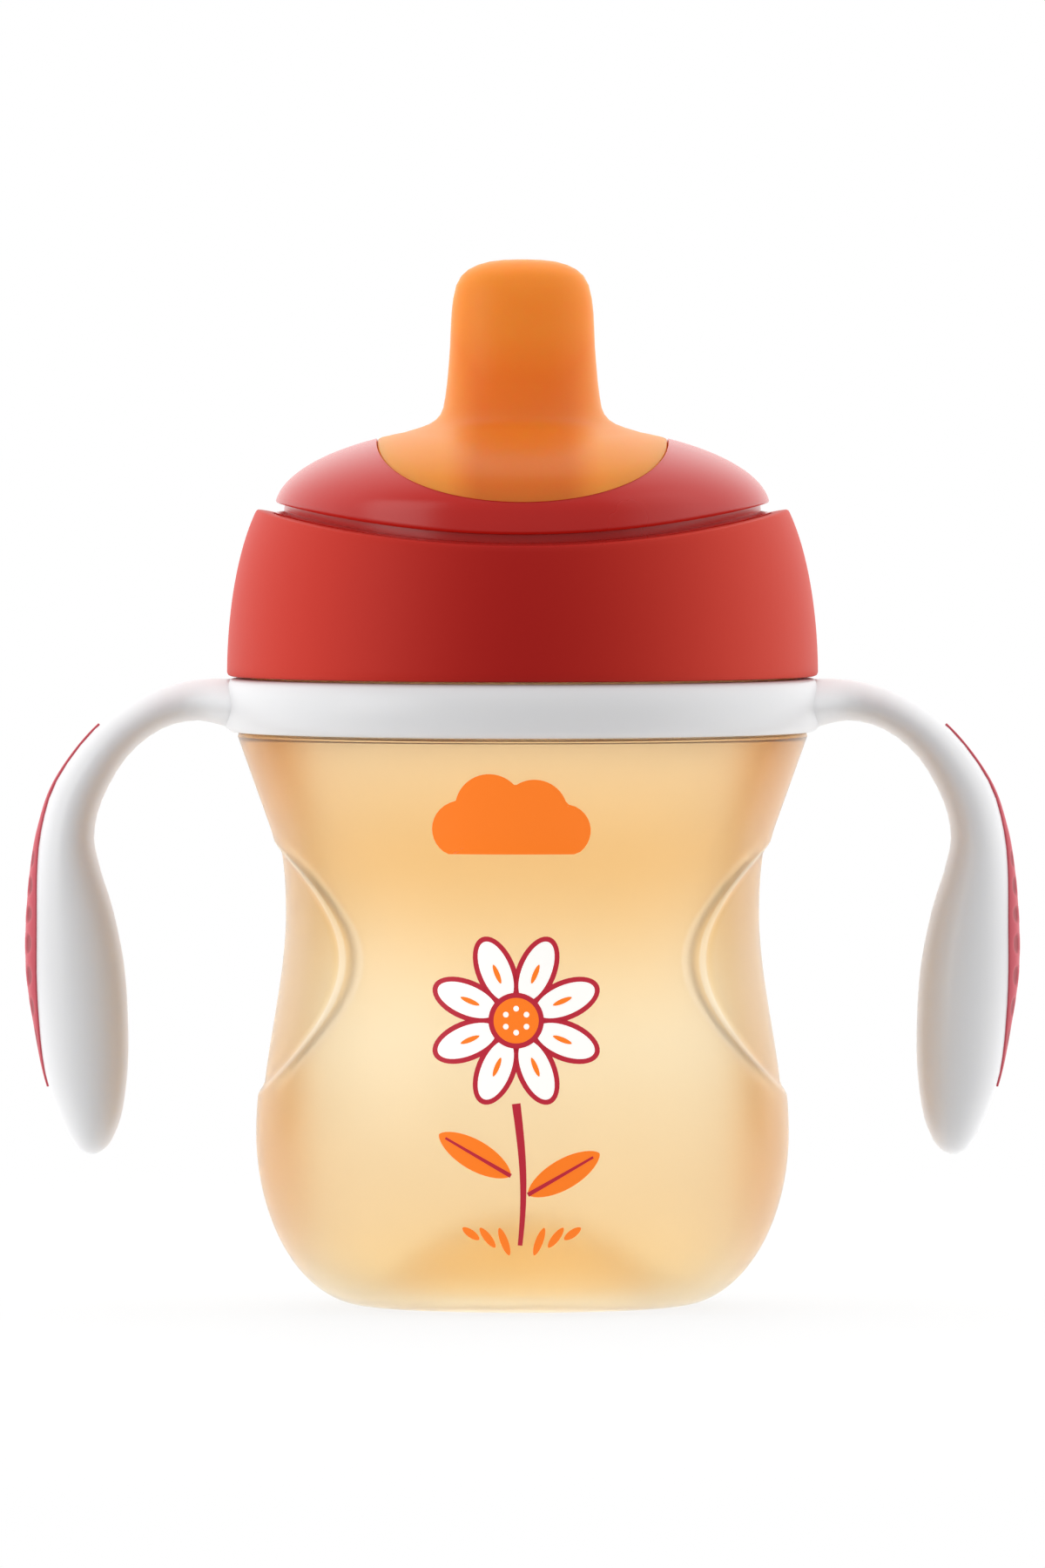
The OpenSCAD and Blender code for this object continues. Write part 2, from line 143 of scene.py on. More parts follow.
# The camera looks almost level at the middle of the cup through a long lens.
camera_distance = 2.4
camera_rise = math.radians(1.6)
view_height = 0.2
middle = Vector((0.0, 0.0, 0.0664))
camera = bpy.data.cameras.new("camera")
camera.lens = 180
camera.sensor_width = camera.lens * view_height / camera_distance
camera_stand = bpy.data.objects.new("camera", camera)
bpy.context.scene.collection.objects.link(camera_stand)
camera_stand.location = middle + camera_distance * Vector((0, -math.cos(camera_rise), math.sin(camera_rise)))
camera_stand.rotation_euler = (middle - camera_stand.location).to_track_quat("-Z", "Y").to_euler()
bpy.context.scene.camera = camera_stand

# ---------------------------------------------------------------- Cup
# The cup is blown from natural polypropylene tinted orange, 1.8 mm thick: a bulging foot
# with a pushed-up floor, a waist with a shallow oval grip panel on each side, and a neck
# with a screw thread.
MM = 0.001


def sides(node):
    """Lowest and highest corner of a CAD node, in millimetres."""
    low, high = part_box(node)
    return [v / MM for v in low], [v / MM for v in high]


rim_z = sides("cup_body")[1][2]
shoulder_r = sides("cup_body")[1][0]
wall = 1.8
neck_r = shoulder_r - 3.5
shoulder_z = rim_z - 19.9
spigot_r = neck_r + 1.3
spigot_top = shoulder_z + 6.9
bulge_r, bulge_z, foot_r = 34.0, 22.0, 20.0
waist_r, waist_z = 30.9, shoulder_z - 23
push_up, recess_r = 9.5, 17.0


def curve_rows(a, b, c, d, rows):
    """Points of a cubic curve from a to d, without its last point."""
    points = []
    for i in range(rows):
        t = i / rows
        points.append([a[k] * (1 - t) ** 3 + 3 * b[k] * t * (1 - t) ** 2
            + 3 * c[k] * t * t * (1 - t) + d[k] * t ** 3 for k in (0, 1)])
    return points


def wall_line(inset, detail):
    """Outline of the cup's wall from the foot to the shoulder, moved in by inset."""
    third = (waist_z - bulge_z) / 3
    turn_z, out_z = waist_z + 7.3, waist_z + 11
    slope = (shoulder_r - waist_r) / (shoulder_z - turn_z)
    line = []
    for i in range(detail):
        a = math.radians(-90 + 90 * i / detail)
        line.append([foot_r + (bulge_r - foot_r - inset) * math.cos(a),
            bulge_z + (bulge_z - inset) * math.sin(a)])
    waist = [waist_r - inset, waist_z]
    funnel = [waist_r - inset + slope * (out_z - turn_z), out_z]
    line += curve_rows([bulge_r - inset, bulge_z], [bulge_r - inset, bulge_z + third],
        [waist_r - inset, waist_z - third], waist, 2 * detail)
    line += curve_rows(waist, [waist_r - inset, waist_z + (turn_z - waist_z) * 2 / 3],
        [funnel[0] - slope * (out_z - turn_z) * 2 / 3, turn_z + (out_z - turn_z) / 3], funnel, detail)
    top = [shoulder_r - inset, shoulder_z]
    line += [[funnel[0] + (top[0] - funnel[0]) * i / detail, funnel[1] + (top[1] - funnel[1]) * i / detail]
        for i in range(detail)]
    return line


def rounded(points, radius, steps=3):
    """The outline with each corner that has a radius turned into a short arc."""
    out = []
    count = len(points)
    for i, p in enumerate(points):
        r = radius.get(i, 0) if isinstance(radius, dict) else radius
        if r == 0:
            out.append(list(p))
            continue
        before, here, after = (Vector(points[(i + k) % count]) for k in (-1, 0, 1))
        to_b, to_a = before - here, after - here
        cut = min(r, to_b.length * 0.45, to_a.length * 0.45)
        start, end = here + to_b.normalized() * cut, here + to_a.normalized() * cut
        for k in range(steps + 1):
            t = k / steps
            out.append(list(start * (1 - t) ** 2 + 2 * here * t * (1 - t) + end * t * t))
    return out


def spun(outline, steps):
    """A bmesh turned from a closed outline of [radius, height] points."""
    turned = bmesh.new()
    points = [turned.verts.new((r, 0, z)) for r, z in outline]
    edges = [turned.edges.new((points[i], points[(i + 1) % len(points)])) for i in range(len(points))]
    bmesh.ops.spin(turned, geom=points + edges, cent=(0, 0, 0), axis=(0, 0, 1), dvec=(0, 0, 0),
        angle=math.tau, steps=steps, use_merge=True)
    bmesh.ops.remove_doubles(turned, verts=turned.verts, dist=0.002)
    bmesh.ops.recalc_face_normals(turned, faces=turned.faces)
    return turned


def thread(root_r, tip_r, start_z, start, turn, pitch=6.0, crest=0.9):
    """A bmesh of one screw ridge, wound up from start_z."""
    ridge = bmesh.new()
    deep = root_r + math.copysign(0.4, root_r - tip_r)
    foot = crest + abs(tip_r - root_r) / 2
    section = [(deep, -foot), (root_r, -foot), (tip_r, -crest), (tip_r, crest), (root_r, foot),
        (deep, foot)]
    points = [ridge.verts.new((r, 0, z)) for r, z in section]
    face = ridge.faces.new(points)
    steps = round(turn / 3)
    bmesh.ops.rotate(ridge, verts=points, cent=(0, 0, 0), matrix=Matrix.Rotation(math.radians(start), 3, "Z"))
    bmesh.ops.translate(ridge, verts=points, vec=(0, 0, start_z + pitch * start / 360))
    bmesh.ops.spin(ridge, geom=[face] + list(face.edges) + points, cent=(0, 0, 0), axis=(0, 0, 1),
        dvec=(0, 0, pitch * turn / 360 / steps), angle=math.radians(turn), steps=steps)
    bmesh.ops.remove_doubles(ridge, verts=ridge.verts, dist=0.002)
    low, fade = start_z + pitch * start / 360, pitch * 25 / 360
    high = low + pitch * turn / 360
    for v in ridge.verts:
        radius = math.hypot(v.co.x, v.co.y)
        near_end = min(v.co.z - low + foot, high - v.co.z + foot) / (fade + foot)
        if abs(radius - root_r) > 0.01 and abs(radius - deep) > 0.01 and near_end < 1:
            wanted = root_r + (radius - root_r) * max(0.05, near_end)
            v.co.x *= wanted / radius
            v.co.y *= wanted / radius
    bmesh.ops.recalc_face_normals(ridge, faces=ridge.faces)
    return ridge


def join(into, other):
    """Adds one bmesh to another, keeping both closed."""
    spare = bpy.data.meshes.new("spare")
    other.to_mesh(spare)
    other.free()
    into.from_mesh(spare)
    bpy.data.meshes.remove(spare)


def piece(name, shaped, material, body, replaced=(), crease=35):
    """Turns a bmesh drawn in millimetres into a finished piece in metres."""
    bmesh.ops.scale(shaped, vec=(MM, MM, MM), verts=shaped.verts)
    mesh = bpy.data.meshes.new(name)
    shaped.to_mesh(mesh)
    shaped.free()
    mesh.shade_smooth()
    mesh.set_sharp_from_angle(angle=math.radians(crease))
    thing = bpy.data.objects.new(name, mesh)
    bpy.context.scene.collection.objects.link(thing)
    mesh.materials.append(material)
    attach(thing, body)
    if replaced:
        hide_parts(*replaced)
    return thing


def moulded_surface():
    """Shader group: the faint orange-peel, fine grain and handling marks of moulded plastic."""
    group = bpy.data.node_groups.new("moulded_surface", "ShaderNodeTree")
    for name, kind, value in (("Scale", "NodeSocketFloat", 900.0), ("Roughness", "NodeSocketFloat", 0.4),
            ("Spread", "NodeSocketFloat", 0.08), ("Color", "NodeSocketColor", (1, 1, 1, 1)),
            ("Mottle", "NodeSocketFloat", 0.06)):
        group.interface.new_socket(name, in_out="INPUT", socket_type=kind).default_value = value
    group.interface.new_socket("Color", in_out="OUTPUT", socket_type="NodeSocketColor")
    group.interface.new_socket("Roughness", in_out="OUTPUT", socket_type="NodeSocketFloat")
    group.interface.new_socket("Height", in_out="OUTPUT", socket_type="NodeSocketFloat")
    n = group.nodes
    link = group.links.new
    source, sink = n.new("NodeGroupInput"), n.new("NodeGroupOutput")
    place = n.new("ShaderNodeTexCoord")
    grain, peel, marks = (n.new("ShaderNodeTexNoise") for _ in range(3))
    for noise, detail in ((grain, 3.0), (peel, 1.0), (marks, 4.0)):
        noise.inputs["Detail"].default_value = detail
        link(place.outputs["Object"], noise.inputs["Vector"])
    link(source.outputs["Scale"], grain.inputs["Scale"])
    peel.inputs["Scale"].default_value = 220.0
    marks.inputs["Scale"].default_value = 45.0
    height = computed(group, "MULTIPLY_ADD", grain.outputs["Fac"], 0.45, peel.outputs["Fac"])
    link(height, sink.inputs["Height"])
    centred = computed(group, "SUBTRACT", marks.outputs["Fac"], 0.5)
    rough = computed(group, "MULTIPLY_ADD", centred, source.outputs["Spread"], source.outputs["Roughness"])
    link(rough, sink.inputs["Roughness"])
    shade = computed(group, "MULTIPLY_ADD", centred, source.outputs["Mottle"], 1.0)
    tint = n.new("ShaderNodeVectorMath")
    tint.operation = "SCALE"
    feed(group, tint, {0: source.outputs["Color"], "Scale": shade})
    link(tint.outputs[0], sink.inputs["Color"])
    return group


moulded = moulded_surface()


def plastic(name, colour, roughness, scale=900.0, spread=0.08, mottle=0.06, bump=0.1, **settings):
    """A moulded material: its colour, how rough it is, and its grain; settings go on the shader."""
    made = bpy.data.materials.new(name)
    made.use_nodes = True
    tree = made.node_tree
    surface = tree.nodes.new("ShaderNodeGroup")
    surface.node_tree = moulded
    surface.name = "surface"
    feed(tree, surface, {"Color": (*colour, 1), "Roughness": roughness, "Scale": scale, "Spread": spread,
        "Mottle": mottle})
    relief = tree.nodes.new("ShaderNodeBump")
    feed(tree, relief, {"Strength": bump, "Distance": 0.0002, "Height": surface.outputs["Height"]})
    shader = tree.nodes["Principled BSDF"]
    feed(tree, shader, {"Base Color": surface.outputs["Color"], "Roughness": surface.outputs["Roughness"],
        "Normal": relief.outputs["Normal"]})
    feed(tree, shader, {socket.replace("_", " "): value for socket, value in settings.items()})
    return made


def mixed(tree, factor, low, high, blend="MIX"):
    """Colour socket that goes from low to high with a factor; each may be a value or a socket."""
    mix = tree.nodes.new("ShaderNodeMix")
    mix.data_type = "RGBA"
    mix.blend_type = blend
    low, high = ((*colour, 1) if isinstance(colour, tuple) else colour for colour in (low, high))
    feed(tree, mix, {"Factor": factor, "A": low, "B": high})
    return mix.outputs["Result"]


def object_axes(tree):
    """X, Y and Z sockets of a point's place on its object."""
    place, axes = tree.nodes.new("ShaderNodeTexCoord"), tree.nodes.new("ShaderNodeSeparateXYZ")
    tree.links.new(place.outputs["Object"], axes.inputs[0])
    return axes.outputs


def shades(tree, factor, stops, interpolation="LINEAR"):
    """Colour socket of a ramp with a colour at each stop."""
    ramp = tree.nodes.new("ShaderNodeValToRGB")
    elements = ramp.color_ramp.elements
    ramp.color_ramp.interpolation = interpolation
    while len(elements) < len(stops):
        elements.new(0.5)
    for element, (at, colour) in zip(elements, stops):
        element.position = at
        element.color = (*colour, 1)
    tree.links.new(factor, ramp.inputs["Fac"])
    return ramp.outputs["Color"]


def ramped(material, low, high, stops, axis="Z"):
    """Feeds a material's colour from a ramp along one object axis, from low to high in metres."""
    tree = material.node_tree
    span = tree.nodes.new("ShaderNodeMapRange")
    feed(tree, span, {"Value": object_axes(tree)[axis], "From Min": low, "From Max": high})
    colour = shades(tree, span.outputs[0], stops, "B_SPLINE")
    tree.links.new(colour, tree.nodes["surface"].inputs["Color"])
    return colour


cup_plastic = plastic("cup_plastic", (0.99, 0.80, 0.52), 0.3, spread=0.12, mottle=0.1, bump=0.04,
    Transmission_Weight=0.92, IOR=1.32, Specular_IOR_Level=0.22, Emission_Strength=0.07)
# The cup's tint changes with height; its palest band, about halfway up, is a painted sheen of the soft boxes.
cup_tint_and_sheen = ramped(cup_plastic, 0.0, 0.075, [(0.0, (0.96, 0.82, 0.55)), (0.07, (0.95, 0.79, 0.53)),
    (0.16, (0.87, 0.735, 0.535)), (0.36, (0.88, 0.775, 0.595)), (0.5, (0.92, 0.85, 0.70)),
    (0.72, (0.87, 0.655, 0.37)), (0.85, (0.91, 0.735, 0.485)), (1.0, (0.92, 0.79, 0.60))])

floor_ball = (recess_r ** 2 + push_up ** 2) / (2 * push_up)


def floor_arc(radius, edge_z, steps=14):
    """The pushed-up floor from its edge to the axis."""
    centre = push_up - floor_ball
    first = math.asin((edge_z - centre) / radius)
    angles = [first + (math.pi / 2 - first) * i / steps for i in range(steps)]
    return [[radius * math.cos(a), centre + radius * math.sin(a)] for a in angles] + [[0, centre + radius]]


under = floor_arc(floor_ball, 0)
inside = floor_arc(floor_ball + wall, wall)
cup_outline = (
    under[::-1]
    + wall_line(0, 26)
    + rounded([[shoulder_r, shoulder_z], [spigot_r, shoulder_z], [spigot_r, spigot_top], [neck_r, spigot_top],
        [neck_r, rim_z], [neck_r - wall, rim_z], [neck_r - wall, shoulder_z - 0.5],
        [shoulder_r - wall - 0.2, shoulder_z - 0.5]], {0: 0.3, 4: 0.6, 5: 0.6, 6: 0.4})
    + [p for p in reversed(wall_line(wall, 13)) if p[1] < shoulder_z - 1]
    + inside)
cup_columns = 256
cup_mesh = spun(cup_outline, cup_columns)

# The grip panels are sunk 0.7 mm behind a rounded step, on both faces of the wall. Along the
# step the wall is painted paler, a painted highlight, and just inside it deeper, a painted shade.
panel_z, panel_half_h, panel_half_w = waist_z - 7, 16.4, 22.0
panel_depth, step_width = 0.7, 1.9
cup_tree = cup_plastic.node_tree
cup_place = cup_tree.nodes.new("ShaderNodeTexCoord").outputs["Object"]
panel_span = computed(cup_tree, "MULTIPLY_ADD", cup_place,
    (0, 1 / (panel_half_w * MM), 1 / (panel_half_h * MM)), (0, 0, -panel_z / panel_half_h), vector=True)
panel_reach = computed(cup_tree, "LENGTH", panel_span, vector=True)
step_light_greys = (0.84, 0.5), (0.885, 0.36), (0.915, 0.42), (0.935, 1.0), (0.985, 1.0), (1.0, 0.5)
painted_step_light_and_shade = shades(cup_tree, panel_reach, [(at, (grey, grey, grey)) for at, grey in step_light_greys])
tint_with_step_light = mixed(cup_tree, 1.0, cup_tint_and_sheen, painted_step_light_and_shade, "OVERLAY")

# Both sides of the cup, where the panels are, are tinted deeper than its front and back: a
# painted shade for the deeper colour its edges take where light crosses the wall at a slant.
sideways = computed(cup_tree, "ABSOLUTE", object_axes(cup_tree)["X"])
side_from, side_full = 0.0245, 0.0345
side_shade_mask = eased(cup_tree, sideways, side_from, side_full)
side_shade_tint = mixed(cup_tree, side_shade_mask, tint_with_step_light, (0.99, 0.69, 0.36), "MULTIPLY")

# The pushed-up floor is tinted paler than the wall, painted light that lifts it out of its
# shade, and it glows faintly: a painted glow for the light the foot ring gathers from the table.
from_axis = computed(cup_tree, "MULTIPLY", cup_place, (1, 1, 0.6), vector=True)
floor_reach = computed(cup_tree, "LENGTH", from_axis, vector=True)
floor_end, wall_start = 0.013, 0.020
off_glowing_floor = eased(cup_tree, floor_reach, floor_end, wall_start)
feed(cup_tree, cup_tree.nodes["surface"], {
    "Color": mixed(cup_tree, off_glowing_floor, (1.0, 0.88, 0.60), side_shade_tint)})
feed(cup_tree, cup_tree.nodes["Principled BSDF"], {
    "Emission Color": mixed(cup_tree, off_glowing_floor, (1.0, 0.55, 0.2), (0, 0, 0))})

wall_from, panel_from = 24, 15
for v in cup_mesh.verts:
    away = math.hypot(v.co.y / panel_half_w, (v.co.z - panel_z) / panel_half_h)
    radius = math.hypot(v.co.x, v.co.y)
    if away < 1 and radius > wall_from and abs(v.co.x) > panel_from:
        t = min(1.0, (1 - away) * panel_half_h / step_width)
        sunk = panel_depth * t * t * (3 - 2 * t)
        v.co.x *= (radius - sunk) / radius
        v.co.y *= (radius - sunk) / radius
ridge_h = 1.15
join(cup_mesh, thread(neck_r, neck_r + ridge_h, shoulder_z + 9.7, start=0, turn=400))
piece("cup", cup_mesh, cup_plastic, "cup", ["cup_body"])

# ---------------------------------------------------------------- Print on the cup
# The front carries a screen print in three inks: a plain cloud over a daisy with two
# leaves. Each ink is a film laid on the wall, the later ones on top of the first.
def ink(name, colour):
    """An ink film that glows a little: a painted glow for the light from inside the cup that soaks through it.
    """
    return plastic(name, colour, 0.45, scale=2200.0, spread=0.12, mottle=0.08, bump=0.08,
        Emission_Color=(*colour, 1), Emission_Strength=0.28)


inks = {"crimson": ink("ink_crimson", (0.46, 0.006, 0.026)),
    "white": ink("ink_white", (0.97, 0.96, 0.93)), "orange": ink("ink_orange", (0.95, 0.19, 0.001))}
films = {name: bmesh.new() for name in inks}
film_t, film_gap = 0.02, 0.01
wall_heights = wall_line(0, 60)


def wall_radius(z):
    """Radius of the cup's plain wall at a height, between the two nearest rows."""
    for low, high in zip(wall_heights, wall_heights[1:]):
        if low[1] <= z <= high[1]:
            return low[0] + (high[0] - low[0]) * (z - low[1]) / (high[1] - low[1])
    return wall_heights[-1][0]


def lay_film(colour, flat, layer):
    """Bends a flat bmesh drawn in the XZ plane onto the front of the wall, as one film of ink."""
    for v in flat.verts:
        v.co.y = -math.sqrt((wall_radius(v.co.z) + film_gap + film_t * layer) ** 2 - v.co.x ** 2)
    bmesh.ops.recalc_face_normals(flat, faces=flat.faces)
    if sum(f.normal.y for f in flat.faces) > 0:
        bmesh.ops.reverse_faces(flat, faces=flat.faces)
    bmesh.ops.solidify(flat, geom=list(flat.faces), thickness=film_t * 0.8)
    join(films[colour], flat)


def patch(colour, outline, layer, rings=5):
    """One patch of ink inside a closed outline of [x, z] points round its middle."""
    flat = bmesh.new()
    ring = bmesh.ops.create_circle(flat, segments=len(outline), radius=1)["verts"]
    edges = list({e for v in ring for e in v.link_edges})
    middle = Vector((sum(p[0] for p in outline), 0, sum(p[1] for p in outline))) / len(outline)
    rim = [Vector((x, 0, z)) for x, z in outline]
    for v, co in zip(ring, rim):
        v.co = co
    for k in range(1, rings + 1):
        grown = bmesh.ops.extrude_edge_only(flat, edges=edges)["geom"]
        new = {v for v in grown if isinstance(v, bmesh.types.BMVert)}
        edges = [e for e in grown if isinstance(e, bmesh.types.BMEdge) and all(v in new for v in e.verts)]
        ring = [next(e.other_vert(v) for e in v.link_edges if e.other_vert(v) in new) for v in ring]
        for v, co in zip(ring, rim):
            v.co = co.lerp(middle, k / (rings + 0.6))
    bmesh.ops.contextual_create(flat, geom=edges)
    lay_film(colour, flat, layer)


def oval(x, z, half_long, half_wide, tilt=0.0, pointed=1.0, points=40):
    """An oval round (x, z), its long axis tilted from upright; pointed below 1 sharpens its ends."""
    out = []
    for i in range(points):
        a = math.tau * i / points
        u = half_long * math.cos(a)
        w = half_wide * math.copysign(abs(math.sin(a)) ** (2 - pointed), math.sin(a))
        out.append([x + w * math.cos(tilt) + u * math.sin(tilt),
            z - w * math.sin(tilt) + u * math.cos(tilt)])
    return out


def stroke(colour, path, width, layer):
    """A line of ink of one width along a path of (x, z) points, thinner at its far end."""
    flat = bmesh.new()
    rows = []
    for i, (x, z) in enumerate(path):
        before, after = path[max(0, i - 1)], path[min(len(path) - 1, i + 1)]
        along = Vector((after[0] - before[0], after[1] - before[1])).normalized()
        half = width / 2 * (1 - 0.5 * i / len(path))
        rows.append([flat.verts.new((x - along.y * half, 0, z + along.x * half)),
            flat.verts.new((x + along.y * half, 0, z - along.x * half))])
    for low, high in zip(rows, rows[1:]):
        flat.faces.new((low[0], low[1], high[1], high[0]))
    lay_film(colour, flat, layer)


def cloud(x, z, puffs, flat_z, points=96):
    """Outline of a cloud: the far side of a few round puffs seen from (x, z), cut flat below."""
    out = []
    for i in range(points):
        dx, dz = math.cos(math.tau * i / points), math.sin(math.tau * i / points)
        reach = 0.0
        for px, pz, r in puffs:
            along = px * dx + pz * dz
            off = r * r - (px * px + pz * pz - along * along)
            if off > 0:
                reach = max(reach, along + math.sqrt(off))
        if dz < 0:
            reach = min(reach, flat_z / -dz)
        out.append([x + reach * dx, z + reach * dz])
    return out


cloud_x, cloud_z, cloud_under = -1.4, 62.3, 3.9
puffs = [(-6.4, -0.7, 3.6), (-2.8, 2.0, 4.3), (2.9, 1.4, 4.2), (6.6, -0.9, 3.4),
    (-3.4, -1, 3.5), (0, -1, 4), (3.4, -1, 3.5)]
patch("orange", cloud(cloud_x, cloud_z, puffs, cloud_under), 0, rings=8)

daisy_x, daisy_z, petals, petal_reach, vein_reach = -0.8, 37.5, 8, 6.7, 6.3
for k in range(petals):
    tilt = math.tau * (k + 0.5) / petals
    out_x, out_z = math.sin(tilt), math.cos(tilt)
    petal_x, petal_z = daisy_x + petal_reach * out_x, daisy_z + petal_reach * out_z
    patch("crimson", oval(petal_x, petal_z, 4.6, 2.5, tilt), 0)
    patch("white", oval(petal_x, petal_z, 3.95, 1.85, tilt), 1)
    patch("orange", oval(daisy_x + vein_reach * out_x, daisy_z + vein_reach * out_z, 1.3, 0.32, tilt, 0.8, 16),
        2, rings=2)
patch("crimson", oval(daisy_x, daisy_z, 3.5, 3.5), 2)
patch("orange", oval(daisy_x, daisy_z, 2.85, 2.85), 3)
dots, dot_reach, dot_r = 6, 1.5, 0.36
for k in range(dots):
    turn = math.tau * k / dots
    dot_x, dot_z = daisy_x + dot_reach * math.sin(turn), daisy_z + dot_reach * math.cos(turn)
    patch("white", oval(dot_x, dot_z, dot_r, dot_r, points=12), 4, rings=1)
stem_from, stem_length = daisy_z - 10.4, 19
stem = [(daisy_x + 0.9 * math.sin(i / 7), stem_from - i) for i in range(stem_length)]
stroke("crimson", stem, 1.1, 1)
for side in (-1, 1):
    leaf_x, leaf_z, tilt = daisy_x + 0.4 + side * 5.6, 19.4 - 1.2 * side, side * 1.05
    patch("orange", oval(leaf_x, leaf_z, 5.2, 1.9, tilt, 0.7), 2)
    rib = [(leaf_x + (i - 5.5) * 0.95 * math.sin(tilt), leaf_z + (i - 5.5) * 0.95 * math.cos(tilt))
        for i in range(11)]
    stroke("crimson", rib, 0.55, 3)
    for k in range(3):
        patch("orange", oval(daisy_x + 0.7 + side * (2.2 + 2.1 * k), 9.6 + 0.5 * k, 1.9 - 0.3 * k, 0.5,
            side * (0.35 + 0.3 * k), 0.8, 20), 0, rings=2)
for name, film in films.items():
    piece("print_" + name, film, inks[name], "cup", crease=60)

# ---------------------------------------------------------------- Handle ring
# One white moulding: a rounded ring that drops over the neck, and two arms that arch out
# from it and swell into a fat grip that hangs free at the bottom.
handle_white = plastic("handle_white", (0.79, 0.79, 0.80), 0.36, bump=0.06, mottle=0.03,
    Subsurface_Weight=0.15, Subsurface_Radius=(0.004, 0.004, 0.0035), Subsurface_Scale=1.0)

ring_top = sides("handle_ring")[1][2]
ring_r = sides("handle_ring")[1][1]
ring_h = 6.8
ring_bore = ring_r - 4
ring_mid = ring_top - ring_h / 2
arch_depth, grip_depth = 5.6, 7.4
# Stations along an arm: out from the ring's edge, up from its middle, half thickness, half depth
stations = [
    (-2.4, 0.1, 3.2, arch_depth + 6.5),
    (3, 0.6, 2.6, arch_depth),
    (8.6, -0.9, 2.45, arch_depth),
    (13.95, -4.9, 2.7, arch_depth + 0.1),
    (18, -11, 3.15, arch_depth + 0.4),
    (19.5, -16.5, 3.45, arch_depth + 0.8),
    (19.45, -21.5, 4.25, arch_depth + 1.2),
    (18.8, -27, 5.25, grip_depth - 0.3),
    (18.15, -33.5, 5.9, grip_depth),
    (17.55, -40, 5.8, grip_depth),
    (17.05, -46.5, 5.3, grip_depth - 0.5),
    (16.55, -51.5, 4.2, grip_depth - 1.5),
    (16.4, -54.8, 2.95, grip_depth - 3.1),
    (16.4, -56.6, 1.7, grip_depth - 5),
    (16.4, -57.3, 0.5, grip_depth - 6.9)]


def arm_at(s):
    """The arm's station at s, smoothed between the listed ones."""
    k = min(int(s), len(stations) - 2)
    t = s - k
    a, b, c, d = (stations[max(0, min(len(stations) - 1, k + j))] for j in (-1, 0, 1, 2))
    return [0.5 * (2 * q + (r - p) * t + (2 * p - 5 * q + 4 * r - w) * t * t + (3 * q - p - 3 * r + w) * t ** 3)
        for p, q, r, w in zip(a, b, c, d)]


def arm_point(s, turn, lift=0.0):
    """A point on the arm's skin at station s, turned round it from its outer face."""
    here = arm_at(s)
    back, on = arm_at(max(0, s - 0.05)), arm_at(min(len(stations) - 1, s + 0.05))
    along = Vector((on[0] - back[0], 0, on[1] - back[1])).normalized()
    outwards = Vector((-along.z, 0, along.x))
    return (Vector((ring_r + here[0], 0, ring_mid + here[1]))
        + outwards * (here[2] + lift) * math.cos(turn) + Vector((0, (here[3] + lift) * math.sin(turn), 0)))


def arm():
    """A bmesh of one arm: a ring of points drawn out from station to station."""
    drawn = bmesh.new()
    around = 48
    ring = bmesh.ops.create_circle(drawn, segments=around, radius=1)["verts"]
    edges = list({e for v in ring for e in v.link_edges})
    cuts = 3 * (len(stations) - 1)
    for k in range(cuts + 1):
        for i, v in enumerate(ring):
            v.co = arm_point(k / 3, math.tau * i / around)
        if k in (0, cuts):
            bmesh.ops.contextual_create(drawn, geom=edges)
        if k < cuts:
            grown = bmesh.ops.extrude_edge_only(drawn, edges=edges)["geom"]
            edges = [e for e in grown if isinstance(e, bmesh.types.BMEdge) and all(v in grown for v in e.verts)]
            new = {v for v in grown if isinstance(v, bmesh.types.BMVert)}
            ring = [next(e.other_vert(v) for e in v.link_edges if e.other_vert(v) in new) for v in ring]
    bmesh.ops.recalc_face_normals(drawn, faces=drawn.faces)
    return drawn


ring_outline = [[ring_bore, ring_top], [ring_bore, ring_top - ring_h]]
for i in range(25):
    a = math.radians(-90 + 7.5 * i)
    ring_outline.append([ring_r - 1.8 + 1.8 * math.cos(a), ring_mid + ring_h / 2 * math.sin(a)])
handles = spun(ring_outline, 160)
for turn in (0, math.pi):
    one = arm()
    bmesh.ops.rotate(one, verts=one.verts, cent=(0, 0, 0), matrix=Matrix.Rotation(turn, 3, "Z"))
    join(handles, one)
piece("handles", handles, handle_white, "handles", ["handle_ring"], crease=50)

# ---------------------------------------------------------------- Grip pads
# Soft red rubber moulded over the outer face of each arm: a long leaf that starts as a thin
# line at the top and is broadest below its middle, with oval dimples for a better hold.
def blended(material, low, high, mask):
    """Feeds a material's colour from two colours mixed by a mask socket of its own tree."""
    tree = material.node_tree
    tree.links.new(mixed(tree, mask, low, high), tree.nodes["surface"].inputs["Color"])


grip_red = plastic("grip_red", (0.58, 0.07, 0.10), 0.5, scale=2600.0, bump=0.2, mottle=0.1)
grip_nodes = grip_red.node_tree.nodes
# The dimples are painted darker: painted shade in their hollows.
dimple_shade = grip_nodes.new("ShaderNodeAttribute")
dimple_shade.attribute_name = "dimple"
blended(grip_red, (0.60, 0.075, 0.105), (0.36, 0.018, 0.035), dimple_shade.outputs["Fac"])

pad_start, pad_end, pad_angle, edge_angle = 2.9, 10.3, 30.0, 4.0
pad_t, pad_edge_t, pad_foot = 0.8, 0.22, -0.3
pad_rows, pad_across = 170, 28
dimple_pitch, dimple_depth = 0.62, 0.28


def leaf(u):
    """How far the pad has grown to its full width and thickness at u along it."""
    return abs(math.sin(math.pi * u ** 1.3)) ** 1.5


